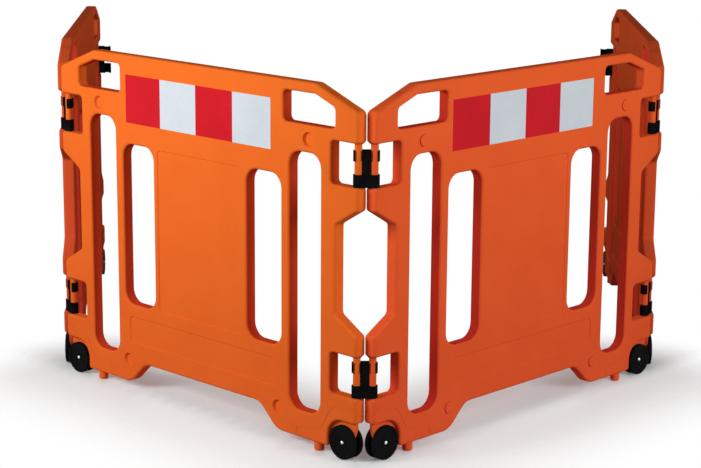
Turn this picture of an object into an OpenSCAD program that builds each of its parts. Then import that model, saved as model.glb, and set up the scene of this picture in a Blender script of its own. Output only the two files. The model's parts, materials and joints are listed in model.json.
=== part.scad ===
// Folding four-panel pedestrian barrier, standing as a zigzag screen.
// Millimetres, +Z up, front of the barrier toward -Y.
// Each panel is drawn in its own frame: X along the panel, Y through it, Z up,
// with the outside face toward -Y. The outer faces of all four panels look outward.

/* [Panel] */
// Length of one panel
panel_w = 1220; // [900:1:1500]
// Height from the floor to the top edge
panel_h = 1000; // [800:1:1200]
// Thickness of the hollow moulding
panel_t = 38; // [30:1:60]
// Wall of the hollow moulding
wall = 4; // [2:0.5:8]
// Rounding of the upright end edges and of the top edge
edge_r = 9; // [4:0.5:14]
// Length of the sloping top corner along the top edge
slope_w = 155; // [60:1:220]
// Height of the sloping top corner at the panel end
slope_h = 60; // [20:1:120]
// Height of the leg soles above the floor
leg_z = 25; // [10:1:60]
// Length of a leg along its sole, from the panel end
leg_w = 280; // [200:1:350]
// Length of the slope from a leg up to the raised bottom edge
leg_slope_w = 102; // [60:1:200]
// Height of the raised bottom edge between the legs
raise_z = 91; // [60:1:140]

/* [Hinge ends] */
// Distance of each hinge post axis from the panel end
post_inset = 13; // [10:0.5:18]
// Diameter of the moulded hinge posts
post_d = 18; // [12:0.5:24]
// Depth of the hinge notches from the panel end
notch_depth = 95; // [70:1:140]
// Corner rounding inside the hinge notches
notch_r = 12; // [4:0.5:24]
// Solid height between the foot of the top slope and the upper notch
upper_land = 82; // [40:1:140]
// Free height over a link in the upper notch
upper_play = 17.5; // [5:0.5:30]
// Solid height between the wheel arch and the lower notch
lower_land = 71; // [30:1:120]
// Free height over a link in the lower notch
lower_play = 14.5; // [5:0.5:30]
// Depth of the long cut-away between the notches
cut_depth = 78; // [40:1:100]
// Solid height between the lower notch and the cut-away at the panel end
cut_lower_land = 57; // [20:1:120]
// Solid height between the cut-away and the upper notch at the panel end
cut_upper_land = 60; // [20:1:120]
// Height of each sloping end of the cut-away
cut_slope_h = 47; // [20:1:80]

/* [Holes] */
// Distance from the panel end to the handle hole
grip_inset = 82; // [40:1:120]
// Length of the handle hole
grip_w = 190; // [120:1:220]
// Height of the rail over the handle hole
grip_rail_h = 29; // [15:1:50]
// Height of the handle hole
grip_h = 83; // [50:1:110]
// Length of the sloping top corner of the handle hole
grip_slope_w = 73; // [30:1:100]
// Height of the sloping top corner of the handle hole
grip_slope_h = 28; // [10:1:50]
// Corner rounding of the handle hole
grip_r = 14; // [5:0.5:25]
// Width of the upright between the hinge notches and the outer slot
outer_upright_w = 38; // [20:1:60]
// Width of the outer slot
outer_slot_w = 116; // [80:1:140]
// Height from the leg sole up to the outer slot
outer_sill_h = 78; // [40:1:150]
// Width of the upright between the two slots
inner_upright_w = 33; // [20:1:60]
// Width of the inner slot
inner_slot_w = 134; // [80:1:160]
// Height from the sunk band up to the inner slot
inner_sill_h = 36; // [15:1:100]
// Height from the inner slot up to the reflective blocks
inner_lintel_h = 63; // [20:1:150]
// Corner rounding of the slots
slot_r = 40; // [10:1:45]

/* [Faces] */
// Depth of the sunk fields on both faces
field_depth = 1.5; // [0.5:0.1:2.5]
// Width of the face between the inner slot and the sunk centre field
field_land = 19; // [8:1:80]
// Width of the face between the outer slot and the sunk band
band_land = 53; // [20:1:120]
// Height from the raised bottom edge up to the sunk band
band_sill_h = 58; // [20:1:90]
// Height of the sunk band
band_h = 81; // [40:1:110]
// Corner rounding of the sunk fields
field_r = 8; // [2:0.5:20]
// Height of the face between an upper nesting mark and the handle hole
upper_mark_land = 19; // [8:1:40]
// Height of the face between an upper nesting mark and the outer slot
slot_mark_land = 16; // [8:1:40]
// Width of the face between a lower nesting mark and the outer slot
lower_mark_land = 24; // [8:1:60]
// Height of the lower nesting marks above the leg soles
lower_mark_h = 68; // [50:1:90]
// Diameter of the nesting recesses
cup_d = 40; // [30:1:48]
// Depth of the nesting recesses
cup_depth = 8; // [4:0.5:10]
// Gap all round a nesting boss in the recess of the next panel
nest_gap = 3; // [1:0.5:4]

/* [Feet and wheels] */
// Distance of the foot pegs from the panel end
peg_inset = 150; // [130:1:220]
// Diameter of the foot pegs
peg_d = 25; // [15:1:32]
// Bevel round the sole of the foot pegs
peg_bevel = 3; // [1:0.5:6]
// Diameter of the wheels
wheel_d = 94; // [70:1:112]
// Gap between the wheels and the floor while the pegs carry
wheel_lift = 1; // [0.5:0.1:4]
// Gap between a wheel and the web
wheel_gap = 0.5; // [0.3:0.1:2]
// Distance of a wheel from the line of the panel end
wheel_inset = 3; // [1:0.5:12]
// Gap between a wheel and the upright wall of its arch
arch_gap = 5; // [3:0.5:15]
// Gap between a wheel and the top of its arch
arch_top_gap = 12; // [5:0.5:30]
// Corner rounding of the wheel arch
arch_r = 50; // [20:1:60]
// Thickness of the web between the wheels
web_t = 11; // [6:0.5:14]
// Distance from the panel end to the end of the web
web_inset = 9; // [4:0.5:20]
// Diameter of the axles
axle_d = 8; // [5:0.5:12]
// Running clearance of a wheel round its axle
wheel_fit = 0.05; // [0.01:0.01:0.1]
// Width of the raised tyre ring on a wheel face
tyre_w = 10; // [6:0.5:16]
// Depth of the wheel disc below the tyre ring
disc_sink = 2; // [1:0.5:3]
// Width of the raised ring round the wheel hub
hub_w = 7; // [4:0.5:12]
// Edge rounding of the wheels
wheel_edge_r = 2.5; // [1:0.5:3]
// Diameter of the push-on axle caps
cap_d = 15; // [12:0.5:20]
// Thickness of the push-on axle caps
cap_t = 4; // [3:0.5:6]
// Gap between an axle cap and its wheel
cap_gap = 0.5; // [0.3:0.1:1]
// Depth of a cap below the face of the panel
cap_sink = 0.5; // [0:0.1:1]

/* [Hinge links] */
// Distance between the two post axes held by one link
link_pitch = 42; // [36:0.5:50]
// Height of a link
link_h = 97; // [80:1:120]
// Wall of the link rings
ring_wall = 4; // [2.5:0.5:6]
// Running clearance of a ring round its post
ring_fit = 0.05; // [0.01:0.01:0.1]
// How much narrower than the post the mouth of a ring is, so that it snaps on
ring_snap = 4; // [1:0.5:8]
// Height of the lower pair of rings
lower_ring_h = 34; // [20:1:40]
// Height of the upper pair of rings
upper_ring_h = 29; // [20:1:40]
// Gap between the link column and the posts
column_gap = 0.5; // [0.3:0.1:6]
// Depth of the link column
column_t = 16; // [10:0.5:24]
// Thickness of the plates that join the rings
plate_t = 8; // [4:0.5:12]
// Gap between a link and the notch floor
link_gap = 0.5; // [0.2:0.1:2]

/* [Reflective sheets] */
// Width of the face between the row of blocks and the handle hole
sheet_land = 38; // [25:1:80]
// Height of the reflective blocks
sheet_h = 139; // [80:1:150]
// Height of the face over the reflective blocks
sheet_lintel_h = 56; // [30:1:80]
// Thickness of the reflective sheet
sheet_t = 0.5; // [0.3:0.1:1]
// Shift of the row on panel B, toward the left
sheet_shift_b = 8; // [0:1:25]
// Shift of the row on panel C, toward the left
sheet_shift_c = 20; // [0:1:25]

/* [Pose] */
// Angle between the two middle panels, in degrees
apex_angle = 89; // [0:1:180]
// Angle between a middle and an outer panel, in degrees
side_angle = 43; // [0:1:180]
// Angle of the unused links toward the inside, in degrees
spare_angle = 90; // [0:1:180]

/* [Hidden] */
$fn = 64;

// Half sizes, and small lengths that several pieces share
half_w = panel_w / 2;
half_t = panel_t / 2;
half_turn = 180;
overrun = post_d;
embed = wall / 2;

// Wheels, their arches and their caps
wheel_r = wheel_d / 2;
axle_x = half_w - wheel_inset - wheel_r;
axle_z = wheel_lift + wheel_r;
arch_w = wheel_inset + wheel_d + arch_gap;
arch_z = wheel_lift + wheel_d + arch_top_gap;
wheel_t = half_t - web_t / 2 - wheel_gap;
bore_r = axle_d / 2 + wheel_fit;
cap_r = cap_d / 2;
cap_face = half_t - cap_sink;
pocket_r = cap_r + wheel_gap + cap_gap;
hub_r = pocket_r + hub_w;
disc_r = wheel_r - tyre_w;
web_hub_r = wheel_r / 2;

// Hinge posts, links, notches and the cut-away between them
post_x = half_w - post_inset;
ring_r = post_d / 2 + ring_fit;
ring_out_r = ring_r + ring_wall;
ring_mouth = post_d - ring_snap;
half_pitch = link_pitch / 2;
column_w = link_pitch - post_d - 2 * column_gap;
upper_notch_h = link_gap + link_h + upper_play;
lower_notch_h = link_gap + link_h + lower_play;
upper_notch_z = panel_h - slope_h - upper_land - upper_notch_h;
lower_notch_z = arch_z + lower_land;
cut_z = lower_notch_z + lower_notch_h + cut_lower_land;
cut_h = upper_notch_z - cut_upper_land - cut_z;

// Legs and pegs
leg_x = half_w - leg_w;
raise_x = leg_x - leg_slope_w;
peg_x = half_w - peg_inset;

// Handle hole, upper nesting marks and outer slot, from the top and the end inward
grip_x = half_w - grip_inset - grip_w;
grip_z = panel_h - grip_rail_h - grip_h;
upper_mark_x = grip_x + grip_w / 2;
upper_mark_z = grip_z - upper_mark_land - cup_d / 2;
outer_slot_x = half_w - notch_depth - outer_upright_w - outer_slot_w;
outer_slot_z = leg_z + outer_sill_h;
outer_slot_h = upper_mark_z - cup_d / 2 - slot_mark_land - outer_slot_z;

// Sunk band, reflective blocks, inner slot and centre field
band_x = outer_slot_x - band_land;
band_z = raise_z + band_sill_h;
sheet_w = (grip_x - sheet_land) / 2;
sheet_z = panel_h - sheet_lintel_h - sheet_h;
inner_slot_x = outer_slot_x - inner_upright_w - inner_slot_w;
inner_slot_z = band_z + band_h + inner_sill_h;
inner_slot_h = sheet_z - inner_lintel_h - inner_slot_z;
field_x = inner_slot_x - field_land;

// Lower nesting marks, and bosses that fit the recesses
lower_mark_x = outer_slot_x - lower_mark_land - cup_d / 2;
lower_mark_z = leg_z + lower_mark_h;
boss_d = cup_d - 2 * nest_gap;
boss_h = cup_depth - nest_gap;

// Headings of the panels and links about Z
turn_b = -apex_angle / 2;
turn_c = apex_angle / 2;
turn_a = turn_b - side_angle;
turn_d = turn_c + side_angle;
turn_ab = turn_b - side_angle / 2;
turn_cd = turn_c + side_angle / 2;
turn_spare_a = turn_a - spare_angle;
turn_spare_d = turn_d + spare_angle;

// A point at a distance along a heading
function along(turn, run) = [cos(turn) * run, sin(turn) * run, 0];

// How far a rounded end that stands out beyond its post reaches in Y
function reach(turn, run, side, r) =
    abs(sin(turn)) * (run - r) + abs(cos(turn)) * (side - r) + r;

// Centres of the panels and links, outward from the link at the apex
at_bc = [0, 0, 0];
at_b = at_bc - along(0, half_pitch) - along(turn_b, post_x);
at_c = at_bc + along(0, half_pitch) + along(turn_c, post_x);
at_ab = at_b - along(turn_b, post_x) - along(turn_ab, half_pitch);
at_cd = at_c + along(turn_c, post_x) + along(turn_cd, half_pitch);
at_a = at_ab - along(turn_ab, half_pitch) - along(turn_a, post_x);
at_d = at_cd + along(turn_cd, half_pitch) + along(turn_d, post_x);
at_spare_a = at_a - along(turn_a, post_x) - along(turn_spare_a, half_pitch);
at_spare_d = at_d + along(turn_d, post_x) + along(turn_spare_d, half_pitch);

// The middle of the barrier's depth, which goes to Y = 0
wheel_run = axle_x + wheel_r;
front_reach = max(reach(turn_c, post_inset, half_t, edge_r),
    reach(turn_c, wheel_run - post_x, half_t, wheel_edge_r));
spare_reach = post_x * sin(turn_d) + max(0, link_pitch * sin(turn_spare_d)) + ring_out_r;
back_reach = at_d[1] + max(reach(turn_d, half_w, half_t, edge_r),
    reach(turn_d, wheel_run, half_t, wheel_edge_r), spare_reach);
middle = [0, (back_reach - front_reach) / 2, 0];

// Puts a child drawn in its own frame at a centre and heading, origin in the middle
module place(centre, turn) {
    translate(centre - middle) rotate([0, 0, turn]) children();
}

// Stands a flat outline up in X and Z and gives it a depth about Y = 0
module stand(depth) {
    rotate([90, 0, 0]) linear_extrude(height = depth, center = true) children();
}

// Draws its child on both ends of a panel
module both_ends() {
    children();
    mirror([1, 0, 0]) children();
}

// A rectangle with round corners, from its low corner
module round_rect(x, z, w, h, r) {
    translate([x + r, z]) square([w - 2 * r, h]);
    translate([x, z + r]) square([w, h - 2 * r]);
    for (cx = [x + r, x + w - r], cz = [z + r, z + h - r])
        translate([cx, cz]) circle(r = r);
}

// Half of the outer outline of a panel, drawn in by a margin
module half_outline(in) {
    polygon([
        [0, raise_z + in],
        [raise_x + in, raise_z + in],
        [leg_x + in, leg_z + in],
        [half_w - in, leg_z + in],
        [half_w - in, panel_h - slope_h - in],
        [half_w - slope_w - in * slope_h / slope_w, panel_h - in],
        [0, panel_h - in]
    ]);
}

// A hinge notch at the right end, grown by a margin
module notch(z, h, grow) {
    round_rect(half_w - notch_depth - grow, z - grow,
        notch_depth + grow + overrun + notch_r, h + 2 * grow, notch_r + grow);
}

// The long cut-away at the right end, grown by a margin
module cut_away(grow) {
    polygon([
        [half_w + overrun, cut_z - grow - overrun * cut_slope_h / cut_depth],
        [half_w - cut_depth - grow, cut_z + cut_slope_h - grow],
        [half_w - cut_depth - grow, cut_z + cut_h - cut_slope_h + grow],
        [half_w + overrun, cut_z + cut_h + grow + overrun * cut_slope_h / cut_depth]
    ]);
}

// The wheel arch at the right end, grown by a margin
module arch(grow) {
    round_rect(half_w - arch_w - grow, -arch_z, arch_w + grow + overrun + arch_r,
        2 * arch_z + grow, arch_r + grow);
}

// The handle hole on the right, grown by a margin
module grip_hole(grow) {
    top = grip_z + grip_h + grow;
    right = grip_x + grip_w + grow;
    difference() {
        round_rect(grip_x - grow, grip_z - grow, grip_w + 2 * grow, grip_h + 2 * grow,
            grip_r + grow);
        polygon([
            [right - grip_slope_w, top],
            [right + overrun, top],
            [right + overrun, top - grip_slope_h],
            [right, top - grip_slope_h]
        ]);
    }
}

// The two slots on the right, grown by a margin
module slots(grow) {
    round_rect(outer_slot_x - grow, outer_slot_z - grow, outer_slot_w + 2 * grow,
        outer_slot_h + 2 * grow, slot_r + grow);
    round_rect(inner_slot_x - grow, inner_slot_z - grow, inner_slot_w + 2 * grow,
        inner_slot_h + 2 * grow, slot_r + grow);
}

// The whole flat shape of a panel: drawn in at its rim, grown at its holes
module panel_shape(margin) {
    difference() {
        both_ends() half_outline(margin);
        both_ends() {
            notch(upper_notch_z, upper_notch_h, margin);
            notch(lower_notch_z, lower_notch_h, margin);
            cut_away(margin);
            arch(margin);
            grip_hole(margin);
            slots(margin);
        }
    }
}

// A slab as large as a panel with its end edges and its top edge rounded
module soft_slab() {
    intersection() {
        linear_extrude(height = panel_h)
            round_rect(-half_w, -half_t, panel_w, panel_t, edge_r);
        rotate([90, 0, 90]) linear_extrude(height = panel_w, center = true)
            round_rect(-half_t, -edge_r, panel_t, panel_h + edge_r, edge_r);
    }
}

// Places its child on the four nesting marks of a panel
module at_marks() {
    both_ends() {
        translate([upper_mark_x, 0, upper_mark_z]) children();
        translate([lower_mark_x, 0, lower_mark_z]) children();
    }
}

// A round bar along Y between two depths
module y_bar(r, from, to) {
    translate([0, to, 0]) rotate([90, 0, 0]) cylinder(r = r, h = to - from);
}

// The sunk field and band, cut into the face at the given side
module sunk_fields(side) {
    translate([0, side * half_t, 0]) stand(2 * field_depth) {
        round_rect(-field_x, inner_slot_z, 2 * field_x, inner_slot_h, field_r);
        round_rect(-band_x, band_z, 2 * band_x, band_h, field_r);
    }
}

// The hollow inside of a panel, leaving a wall behind the nesting recesses
module hollow() {
    difference() {
        stand(panel_t - 2 * wall) panel_shape(wall);
        at_marks() y_bar(cup_d / 2 + wall, -half_t, -half_t + cup_depth + wall);
    }
}

// The web between a pair of wheels
module web() {
    top = arch_z + embed;
    left = half_w - arch_w - embed;
    difference() {
        stand(web_t) {
            translate([left, axle_z])
                square([half_w - web_inset - left, top - axle_z]);
            translate([axle_x, axle_z]) circle(r = web_hub_r);
        }
        translate([axle_x, 0, axle_z]) y_bar(axle_d / 2, -half_t, half_t);
    }
}

// A hinge post that crosses a notch
module post(z, h) {
    translate([post_x, 0, z - embed]) cylinder(d = post_d, h = h + 2 * embed);
}

// A foot peg under a leg
module peg() {
    translate([peg_x, 0, 0]) {
        cylinder(d1 = peg_d - 2 * peg_bevel, d2 = peg_d, h = peg_bevel);
        translate([0, 0, peg_bevel]) cylinder(d = peg_d, h = leg_z - peg_bevel + embed);
    }
}

// One hollow panel moulding, recesses on its -Y face and bosses on its +Y face
module panel_moulding() {
    color("darkorange") {
        difference() {
            intersection() {
                stand(panel_t) panel_shape(0);
                soft_slab();
            }
            hollow();
            for (side = [-1, 1]) sunk_fields(side);
            at_marks() y_bar(cup_d / 2, -half_t - cup_depth, -half_t + cup_depth);
        }
        at_marks() y_bar(boss_d / 2, half_t - embed, half_t + boss_h);
        both_ends() {
            post(upper_notch_z, upper_notch_h);
            post(lower_notch_z, lower_notch_h);
            web();
            peg();
        }
    }
}

// Two of the four reflective blocks, the first one from the left end if first is 0
module sheets(first, shift) {
    for (step = [0, 2])
        translate([(first + step - 2) * sheet_w - shift, -half_t - sheet_t, sheet_z])
            cube([sheet_w, sheet_t, sheet_h]);
}

module red_sheets(shift) {
    color("firebrick") sheets(0, shift);
}

module white_sheets(shift) {
    color("gainsboro") sheets(1, shift);
}

// The two axles of a panel
module axles() {
    color("silver") both_ends()
        translate([axle_x, 0, axle_z])
            y_bar(axle_d / 2, -cap_face + cap_t / 2, cap_face - cap_t / 2);
}

// A push-on cap over the outer end of an axle, on the -Y side
module axle_cap() {
    difference() {
        y_bar(cap_r, -cap_face, -cap_face + cap_t);
        y_bar(axle_d / 2, -cap_face + cap_t / 2, 0);
    }
}

// The four push-on caps of a panel
module axle_caps() {
    color("lightgrey") both_ends()
        translate([axle_x, 0, axle_z]) {
            axle_cap();
            mirror([0, 1, 0]) axle_cap();
        }
}

// One wheel about Z: flat on the web side, stepped on the outer side
module wheel_solid() {
    e = wheel_edge_r;
    hub_top = wheel_t - disc_sink / 2;
    pocket = half_t - cap_face + cap_t + cap_gap;
    rotate_extrude() difference() {
        union() {
            translate([bore_r, 0]) square([wheel_r - bore_r, wheel_t - e]);
            translate([bore_r, 0]) square([wheel_r - e - bore_r, wheel_t]);
            translate([wheel_r - e, wheel_t - e]) circle(r = e);
        }
        translate([hub_r, wheel_t - disc_sink]) square([disc_r - hub_r, 2 * disc_sink]);
        translate([0, hub_top]) square([hub_r + e, disc_sink]);
        translate([0, wheel_t - pocket]) square([pocket_r, 2 * pocket]);
    }
}

// A wheel on its axle: end is -1 left or 1 right, face is -1 outer or 1 inner
module wheel(end, face) {
    color("dimgray") translate([end * axle_x, face * (half_t - wheel_t), axle_z])
        rotate([-90 * face, 0, 0]) wheel_solid();
}

// One open ring about a post axis, its mouth toward +Y
module open_ring(h) {
    difference() {
        cylinder(r = ring_out_r, h = h);
        translate([0, 0, -overrun]) cylinder(r = ring_r, h = h + 2 * overrun);
        translate([-ring_mouth / 2, 0, -overrun])
            cube([ring_mouth, ring_out_r + overrun, h + 2 * overrun]);
    }
}

// A hinge link: lower rings open to the back, upper rings open to the front
module hinge_link() {
    color("black") difference() {
        union() {
            for (side = [-1, 1]) translate([side * half_pitch, 0, 0]) {
                open_ring(lower_ring_h);
                translate([0, 0, link_h - upper_ring_h]) rotate([0, 0, half_turn])
                    open_ring(upper_ring_h);
            }
            translate([-column_w / 2, -column_t / 2, 0]) cube([column_w, column_t, link_h]);
            translate([-half_pitch, -ring_out_r, 0]) cube([link_pitch, plate_t, lower_ring_h]);
            translate([-half_pitch, ring_out_r - plate_t, link_h - upper_ring_h])
                cube([link_pitch, plate_t, upper_ring_h]);
        }
        for (side = [-1, 1]) translate([side * half_pitch, 0, -overrun])
            cylinder(r = ring_r, h = link_h + 2 * overrun);
    }
}

// Links at the height of the upper and of the lower notch
module upper_link() {
    translate([0, 0, upper_notch_z + link_gap]) hinge_link();
}

module lower_link() {
    translate([0, 0, lower_notch_z + link_gap]) hinge_link();
}

// Panels B and D show their recesses outside, panels A and C their bosses
place(at_a, turn_a + half_turn) panel_moulding();  // panel_a
place(at_b, turn_b) panel_moulding();  // panel_b
place(at_c, turn_c + half_turn) panel_moulding();  // panel_c
place(at_d, turn_d) panel_moulding();  // panel_d
place(at_a, turn_a) red_sheets(0);  // red_sheets_a
place(at_b, turn_b) red_sheets(sheet_shift_b);  // red_sheets_b
place(at_c, turn_c) red_sheets(sheet_shift_c);  // red_sheets_c
place(at_d, turn_d) red_sheets(0);  // red_sheets_d
place(at_a, turn_a) white_sheets(0);  // white_sheets_a
place(at_b, turn_b) white_sheets(sheet_shift_b);  // white_sheets_b
place(at_c, turn_c) white_sheets(sheet_shift_c);  // white_sheets_c
place(at_d, turn_d) white_sheets(0);  // white_sheets_d
place(at_a, turn_a) axles();  // axles_a
place(at_b, turn_b) axles();  // axles_b
place(at_c, turn_c) axles();  // axles_c
place(at_d, turn_d) axles();  // axles_d
place(at_a, turn_a) axle_caps();  // axle_caps_a
place(at_b, turn_b) axle_caps();  // axle_caps_b
place(at_c, turn_c) axle_caps();  // axle_caps_c
place(at_d, turn_d) axle_caps();  // axle_caps_d
place(at_a, turn_a) wheel(-1, -1);  // wheel_a_left_outer
place(at_a, turn_a) wheel(-1, 1);  // wheel_a_left_inner
place(at_a, turn_a) wheel(1, -1);  // wheel_a_right_outer
place(at_a, turn_a) wheel(1, 1);  // wheel_a_right_inner
place(at_b, turn_b) wheel(-1, -1);  // wheel_b_left_outer
place(at_b, turn_b) wheel(-1, 1);  // wheel_b_left_inner
place(at_b, turn_b) wheel(1, -1);  // wheel_b_right_outer
place(at_b, turn_b) wheel(1, 1);  // wheel_b_right_inner
place(at_c, turn_c) wheel(-1, -1);  // wheel_c_left_outer
place(at_c, turn_c) wheel(-1, 1);  // wheel_c_left_inner
place(at_c, turn_c) wheel(1, -1);  // wheel_c_right_outer
place(at_c, turn_c) wheel(1, 1);  // wheel_c_right_inner
place(at_d, turn_d) wheel(-1, -1);  // wheel_d_left_outer
place(at_d, turn_d) wheel(-1, 1);  // wheel_d_left_inner
place(at_d, turn_d) wheel(1, -1);  // wheel_d_right_outer
place(at_d, turn_d) wheel(1, 1);  // wheel_d_right_inner
place(at_ab, turn_ab) upper_link();  // link_ab_upper
place(at_ab, turn_ab) lower_link();  // link_ab_lower
place(at_bc, 0) upper_link();  // link_bc_upper
place(at_bc, 0) lower_link();  // link_bc_lower
place(at_cd, turn_cd) upper_link();  // link_cd_upper
place(at_cd, turn_cd) lower_link();  // link_cd_lower
place(at_spare_a, turn_spare_a) upper_link();  // spare_link_a
place(at_spare_d, turn_spare_d) upper_link();  // spare_link_d
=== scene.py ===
"""Looks of the folding pedestrian barrier: moulded panels, wheels, links, sheets, stage and camera."""

import json
import math

import bpy
from mathutils import Matrix, Vector
from mathutils.geometry import delaunay_2d_cdt

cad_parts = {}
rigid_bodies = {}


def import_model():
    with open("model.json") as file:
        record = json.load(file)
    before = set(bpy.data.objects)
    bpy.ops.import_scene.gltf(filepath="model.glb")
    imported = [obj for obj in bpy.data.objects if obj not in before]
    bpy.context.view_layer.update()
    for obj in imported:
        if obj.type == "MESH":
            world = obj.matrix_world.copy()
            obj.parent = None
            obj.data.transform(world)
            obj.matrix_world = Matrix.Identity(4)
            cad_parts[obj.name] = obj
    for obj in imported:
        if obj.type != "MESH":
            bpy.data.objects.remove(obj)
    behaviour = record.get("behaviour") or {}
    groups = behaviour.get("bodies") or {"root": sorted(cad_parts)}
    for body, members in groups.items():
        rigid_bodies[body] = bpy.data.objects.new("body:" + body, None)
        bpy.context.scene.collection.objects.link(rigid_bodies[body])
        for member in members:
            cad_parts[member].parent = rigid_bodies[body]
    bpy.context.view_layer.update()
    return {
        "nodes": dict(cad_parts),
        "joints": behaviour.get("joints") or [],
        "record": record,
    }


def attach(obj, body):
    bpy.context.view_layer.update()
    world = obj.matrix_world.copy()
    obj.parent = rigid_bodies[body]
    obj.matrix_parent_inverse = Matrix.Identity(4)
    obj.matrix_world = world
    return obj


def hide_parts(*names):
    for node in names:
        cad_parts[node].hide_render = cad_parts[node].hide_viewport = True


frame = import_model()
MOUNTS = {mount["name"]: mount for mount in frame["record"]["mounts"]}
MM = 0.001

# The unit: panels a to d from left to right with the bodies at their ends, and the panels of each link pair
PANEL_ENDS = {
    "a": ("spare_link_a", "links_ab"),
    "b": ("links_ab", "links_bc"),
    "c": ("links_bc", "links_cd"),
    "d": ("links_cd", "spare_link_d"),
}
LINK_ENDS = {
    "ab": ("panel_a", "panel_b"),
    "bc": ("panel_b", "panel_c"),
    "cd": ("panel_c", "panel_d"),
}
TURNED_PANELS = ("a", "c")
FRONT_PANELS = ("b", "c")

# Panel outline, in millimetres: X from the panel's middle, Y through it, Z up from the floor
HALF_W = 611.0
HALF_T = 19.0
TOP_Z = 1000.0
EDGE_R = 8.0
END_R = 9.0
SHOULDER_X = 455.0
SHOULDER_Z = 940.0
SHOULDER_TOP_R = 30.0
SHOULDER_END_R = 16.0
NOTCH_X = 515.0
NOTCH_R = 12.0
UPPER_NOTCH = (743.0, 858.0)
LOWER_NOTCH = (178.0, 290.0)
WAIST_X = 532.0
WAIST_Z = (394.0, 636.0)
WAIST_R = 14.0
WAIST_RISE = 47.0
WAIST_END_R = 10.0
BELLY_Z = 91.0
LEG_Z = 25.0
LEG_SLOPE_X = (242.0, 310.0)
LEG_SLOPE_R = (50.0, 58.0)
LEG_END_R = 10.0
ARCH_X = 508.0
ARCH_Z = 107.0
ARCH_R = 50.0

# Openings and sunk fields
GRIP_X = (338.0, 528.0)
GRIP_Z = (888.0, 971.0)
GRIP_END_Z = 943.0
GRIP_R = 14.0
GRIP_TOP_R = 20.0
OUTER_SLOT_X = (361.0, 477.0)
OUTER_SLOT_Z = (103.0, 813.0)
INNER_SLOT_X = (194.0, 328.0)
INNER_SLOT_Z = (266.0, 742.0)
SLOT_R = 40.0
FIELD_HALF_W = 175.0
BAND_HALF_W = 308.0
BAND_Z = (149.0, 230.0)
FIELD_R = 14.0
FIELD_DEPTH = 2.5
FIELD_SLOPE = 2.5

# Nesting marks at (x, z), with the (radius, height, rounding) corners of a cup and of a boss
MARKS = ((433.0, 849.0), (317.0, 93.0))
CUP_CORNERS = ((24.0, 0.0, 0.0), (20.0, 0.0, 1.5), (15.0, -8.0, 3.0), (0.0, -8.0, 0.0))
BOSS_CORNERS = ((22.0, 0.0, 0.0), (17.0, 0.0, 2.5), (16.0, 5.0, 2.5), (0.0, 5.0, 0.0))

# Axles, caps and wheels
AXLE_X = 560.0
AXLE_Z = 48.0
CAP_SEAT = 14.5
CAP_R = 6.2
CAP_RIM = 1.2
CAP_DOME = 2.8
WHEEL_SEAT = 6.0
WHEEL_R = 47.0
WHEEL_T = 13.0
WHEEL_BORE_R = 4.05
WHEEL_BACK_EDGE_R = 1.5
WHEEL_EDGE_R = 3.0
HUB_SINK = 5.0

# Steps of a wheel's outer face from its rim inward: radius, depth under the face and rounding
WHEEL_STEPS = (
    (38.0, 0.0, 1.0), (36.5, 2.0, 0.8),
    (29.0, 2.0, 0.6), (28.5, 1.2, 0.5), (26.5, 1.2, 0.5), (26.0, 2.0, 0.6),
    (16.5, 2.4, 0.8), (15.5, 1.0, 0.8),
    (9.3, 1.0, 0.6), (8.5, HUB_SINK, 0.4),
)

# Posts, wheel webs, foot pegs and the beads round the wheel arches
POST_X = 597.0
POST_R = 10.0
POST_FLARE = 4.0
POST_ROOT = 4.0
WEB_X = (500.0, 601.0)
WEB_SHOULDER_Z = 88.0
WEB_SHOULDER_R = 6.0
WEB_FOOT_X = (541.0, 579.0)
WEB_FOOT_Z = 28.0
WEB_FOOT_R = 16.0
WEB_HALF_T = 5.5
WEB_EDGE_R = 2.0
WEB_ROOT = 6.0
PEG_X = 460.0
PEG_R = 14.0
PEG_EDGE_R = 5.0
PEG_ROOT = 9.0
BEAD_PATH = ((602, 151, 0), (522, 141, 35), (481, 70, 24), (389, 57, 12), (389, 35, 0))
BEAD_HALF_W = 1.6
BEAD_H = 0.8
BEAD_ROOT = 1.0
BEAD_EDGE_R = 0.6

# Hinge links: two pairs of open rings at their own heights, joined by a column
RING_R = 10.05
RING_OUT_R = 13.6
HALF_PITCH = 21.0
LOWER_RINGS_Z = (0.0, 34.0)
UPPER_RINGS_Z = (68.0, 97.0)
LOWER_MOUTH = 7.5
UPPER_MOUTH = 9.2
COLUMN_HALF_X = 10.9
COLUMN_HALF_Y = 8.0
COLUMN_Z = (1.0, 96.0)
COLUMN_R = 3.0
COLUMN_SINK = 0.4
LINK_EDGE_R = 0.9
LINK_GAP = 0.5

# Fineness of the meshes
ARC_STEP = math.radians(9.0)
EDGE_STEPS = 6
SMALL_EDGE_STEPS = 3
BEAD_STEPS = 2
FIELD_STEPS = 5
FLARE_STEPS = 5
CAP_STEPS = 8
PROFILE_STEPS = 5
WHEEL_PROFILE_STEPS = 3
MARK_SIDES = 64
ROD_SIDES = 40
WHEEL_SIDES = 72
RING_OUTER_STEPS = 20
RING_INNER_STEPS = 36
RING_JOIN_STEPS = 4
WELD_DIGITS = 3
MERGE_DISTANCE = 1e-4
STRAIGHT_ANGLE = 1e-4
LEAST_MITER = 0.2

# Camera, for an image of this many pixels across
IMAGE_W = 701
SENSOR_MM = 36.0
LENS_PX = 1904.1
CAMERA_AT = (-0.0979, -5.8279, 1.7144)
YAW = -0.0121
PITCH = -0.2243
ROLL = 0.0072

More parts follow.
